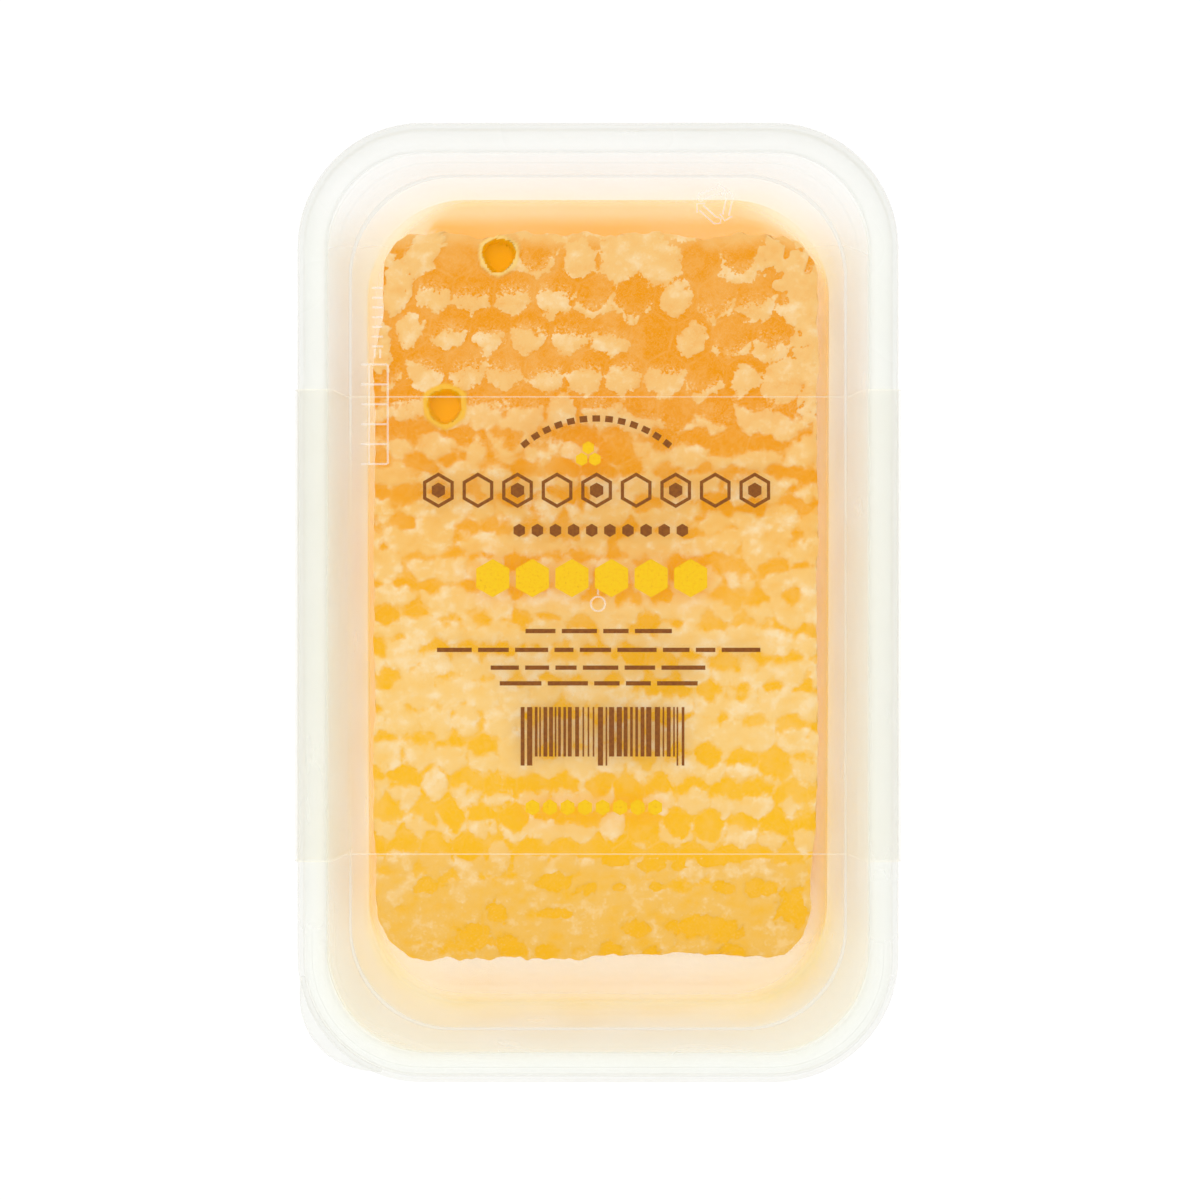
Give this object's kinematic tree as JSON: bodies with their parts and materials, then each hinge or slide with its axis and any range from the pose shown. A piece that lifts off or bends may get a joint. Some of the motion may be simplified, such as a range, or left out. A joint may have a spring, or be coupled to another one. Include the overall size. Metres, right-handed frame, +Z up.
{
  "type": "cut honeycomb in a clear tub",
  "caption": "Rectangular block of cut honeycomb with pooled honey, in a shallow clear plastic tub with a push-fit lid, corner pull tab and clear wrap-over film label.",
  "frame": {"origin": "on the floor plane, under the middle of the lid's outline", "axes": "+X across the tub, +Y along it towards the end with the deeper honey, +Z up through the lid; the pull tab is at the -X -Y corner"},
  "size_m": [0.0866, 0.1372, 0.0363],
  "materials": {
    "tub_plastic": "clear moulded plastic, slightly milky, smooth",
    "lid_plastic": "clear moulded plastic, milky where it is thick, smooth",
    "label_film": "clear printed film with a faint haze",
    "wax_comb": "waxy cell caps wet with honey",
    "honey": "wet glossy honey"
  },
  "bodies": {
    "root": {"tub": "tub_plastic", "lid": "lid_plastic", "label": "label_film", "honeycomb": "wax_comb", "honey": "honey"}
  },
  "joints": []
}
